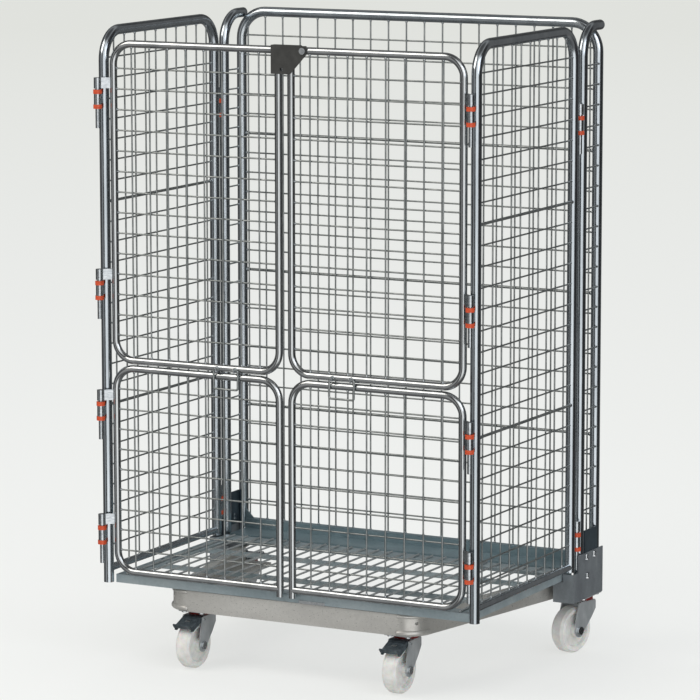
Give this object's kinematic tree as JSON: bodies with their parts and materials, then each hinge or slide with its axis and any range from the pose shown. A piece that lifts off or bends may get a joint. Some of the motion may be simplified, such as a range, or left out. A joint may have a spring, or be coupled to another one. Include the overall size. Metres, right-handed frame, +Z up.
{
  "type": "roll cage container",
  "caption": "Wheeled wire-mesh roll cage with a fixed back, hinged sides, split front doors, lift-up wire deck and swivel casters.",
  "frame": {"origin": "centre of the bounding box's base, on the floor", "axes": "+Z up, the doors face -Y, +X to the right of someone who faces the doors"},
  "size_m": [1.041, 0.744, 1.575],
  "materials": {
    "bright_tube": "bright zinc-plated steel tube, clear passivated",
    "door_tube": "bright zinc-plated steel tube",
    "mesh_wire": "zinc-plated drawn steel wire",
    "sheet_steel": "galvanised pressed sheet steel",
    "deck_steel": "galvanised angle steel, blue-grey",
    "hinge_steel": "zinc-plated turned steel",
    "orange_bush": "moulded orange nylon",
    "latch_steel": "dark grey painted sheet steel",
    "bolt_steel": "bright zinc-plated bolts",
    "red_seal": "red swivel seal",
    "caster_fork": "zinc-plated pressed steel",
    "white_nylon": "moulded white polyamide",
    "dark_pedal": "dark grey coated pressed steel"
  },
  "bodies": {
    "chassis": {"front_beam": "sheet_steel", "left_leg": "sheet_steel", "right_leg": "sheet_steel", "left_corner_bracket": "deck_steel", "right_corner_bracket": "deck_steel", "gussets": "deck_steel", "rear_floor": "deck_steel", "rear_beam": "deck_steel", "back_frame": "bright_tube", "left_hook_post": "bright_tube", "right_hook_post": "bright_tube", "back_mesh": "mesh_wire", "post_knuckles": "hinge_steel", "post_bushes": "orange_bush", "caster_plates": "caster_fork", "caster_seals": "red_seal", "frame_bolts": "bolt_steel"},
    "deck": {"deck_frame": "deck_steel", "deck_bars": "deck_steel", "deck_wires": "mesh_wire", "deck_fittings": "bolt_steel"},
    "left_side": {"left_side_frame": "bright_tube", "left_side_mesh": "mesh_wire", "left_side_hinges": "hinge_steel", "left_side_bushes": "orange_bush"},
    "upper_left_door": {"upper_left_door_frame": "door_tube", "upper_left_door_mesh": "mesh_wire", "upper_left_door_hinges": "hinge_steel"},
    "lower_left_door": {"lower_left_door_frame": "door_tube", "lower_left_door_mesh": "mesh_wire", "lower_left_door_hinges": "hinge_steel"},
    "right_side": {"right_side_frame": "bright_tube", "right_side_mesh": "mesh_wire", "right_side_hinges": "hinge_steel", "right_side_bushes": "orange_bush"},
    "upper_right_door": {"upper_right_door_frame": "door_tube", "upper_right_door_mesh": "mesh_wire", "upper_right_door_hinges": "hinge_steel", "latch_bolt": "bolt_steel"},
    "lower_right_door": {"lower_right_door_frame": "door_tube", "lower_right_door_mesh": "mesh_wire", "lower_right_door_hinges": "hinge_steel"},
    "latch": {"latch_plate": "latch_steel", "latch_hood": "latch_steel"},
    "bail_left": {"left_bail": "mesh_wire"},
    "bail_right": {"right_bail": "mesh_wire"},
    "front_left_swivel": {"front_left_fork": "caster_fork", "front_left_axle": "bolt_steel"},
    "front_left_roller": {"front_left_wheel": "white_nylon"},
    "front_left_brake": {"front_left_pedal": "dark_pedal"},
    "front_right_swivel": {"front_right_fork": "caster_fork", "front_right_axle": "bolt_steel"},
    "front_right_roller": {"front_right_wheel": "white_nylon"},
    "front_right_brake": {"front_right_pedal": "dark_pedal"},
    "rear_left_swivel": {"rear_left_fork": "caster_fork", "rear_left_axle": "bolt_steel"},
    "rear_left_roller": {"rear_left_wheel": "white_nylon"},
    "rear_right_swivel": {"rear_right_fork": "caster_fork", "rear_right_axle": "bolt_steel"},
    "rear_right_roller": {"rear_right_wheel": "white_nylon"}
  },
  "joints": [
    {"name": "deck_lift", "type": "hinge", "parent": "chassis", "child": "deck", "pos_m": [0, 0.2385, 0.2105], "axis": [-1, 0, 0], "range_deg": [0, 85]},
    {"name": "right_side_swing", "type": "hinge", "parent": "chassis", "child": "right_side", "pos_m": [0.506, 0.2325, 0.8895], "axis": [0, 0, 1], "range_deg": [0, 90]},
    {"name": "left_side_swing", "type": "hinge", "parent": "chassis", "child": "left_side", "pos_m": [-0.506, 0.2325, 0.8895], "axis": [0, 0, -1], "range_deg": [0, 90]},
    {"name": "upper_right_door_swing", "type": "hinge", "parent": "right_side", "child": "upper_right_door", "pos_m": [0.5, -0.36, 1.1895], "axis": [0, 0, 1], "range_deg": [0, 270]},
    {"name": "lower_right_door_swing", "type": "hinge", "parent": "right_side", "child": "lower_right_door", "pos_m": [0.5, -0.36, 0.4895], "axis": [0, 0, 1], "range_deg": [0, 270]},
    {"name": "upper_left_door_swing", "type": "hinge", "parent": "left_side", "child": "upper_left_door", "pos_m": [-0.5, -0.36, 1.1895], "axis": [0, 0, -1], "range_deg": [0, 270]},
    {"name": "lower_left_door_swing", "type": "hinge", "parent": "left_side", "child": "lower_left_door", "pos_m": [-0.5, -0.36, 0.4895], "axis": [0, 0, -1], "range_deg": [0, 270]},
    {"name": "latch_turn", "type": "hinge", "parent": "upper_right_door", "child": "latch", "pos_m": [0.054, -0.3455, 1.5265], "axis": [0, 1, 0], "range_deg": [0, 90]},
    {"name": "right_bail_lift", "type": "hinge", "parent": "upper_right_door", "child": "bail_right", "pos_m": [0.157, -0.347, 0.7555], "axis": [-1, 0, 0], "range_deg": [0, 180]},
    {"name": "left_bail_lift", "type": "hinge", "parent": "upper_left_door", "child": "bail_left", "pos_m": [-0.157, -0.347, 0.7555], "axis": [-1, 0, 0], "range_deg": [0, 180]},
    {"name": "front_left_swivel_turn", "type": "hinge", "parent": "chassis", "child": "front_left_swivel", "pos_m": [-0.283, -0.2545, 0.1295], "axis": [0, 0, 1], "continuous": true},
    {"name": "front_left_wheel_roll", "type": "hinge", "parent": "front_left_swivel", "child": "front_left_roller", "pos_m": [-0.283, -0.2925, 0.058], "axis": [1, 0, 0], "continuous": true},
    {"name": "front_left_brake_press", "type": "hinge", "parent": "front_left_swivel", "child": "front_left_brake", "pos_m": [-0.283, -0.2875, 0.121], "axis": [1, 0, 0], "range_deg": [0, 8]},
    {"name": "front_right_swivel_turn", "type": "hinge", "parent": "chassis", "child": "front_right_swivel", "pos_m": [0.283, -0.2545, 0.1295], "axis": [0, 0, 1], "continuous": true},
    {"name": "front_right_wheel_roll", "type": "hinge", "parent": "front_right_swivel", "child": "front_right_roller", "pos_m": [0.283, -0.2925, 0.058], "axis": [1, 0, 0], "continuous": true},
    {"name": "front_right_brake_press", "type": "hinge", "parent": "front_right_swivel", "child": "front_right_brake", "pos_m": [0.283, -0.2875, 0.121], "axis": [1, 0, 0], "range_deg": [0, 8]},
    {"name": "rear_left_swivel_turn", "type": "hinge", "parent": "chassis", "child": "rear_left_swivel", "pos_m": [-0.478, 0.3235, 0.1295], "axis": [0, 0, 1], "continuous": true},
    {"name": "rear_left_wheel_roll", "type": "hinge", "parent": "rear_left_swivel", "child": "rear_left_roller", "pos_m": [-0.478, 0.2855, 0.058], "axis": [1, 0, 0], "continuous": true},
    {"name": "rear_right_swivel_turn", "type": "hinge", "parent": "chassis", "child": "rear_right_swivel", "pos_m": [0.478, 0.3235, 0.1295], "axis": [0, 0, 1], "continuous": true},
    {"name": "rear_right_wheel_roll", "type": "hinge", "parent": "rear_right_swivel", "child": "rear_right_roller", "pos_m": [0.46816, 0.2868, 0.058], "axis": [0.9659, -0.2588, 0], "continuous": true}
  ],
  "couplings": [
    {"joint": "left_side_swing", "follows": "right_side_swing", "ratio": 1},
    {"joint": "lower_right_door_swing", "follows": "upper_right_door_swing", "ratio": 1},
    {"joint": "upper_left_door_swing", "follows": "upper_right_door_swing", "ratio": 1},
    {"joint": "lower_left_door_swing", "follows": "upper_right_door_swing", "ratio": 1}
  ]
}
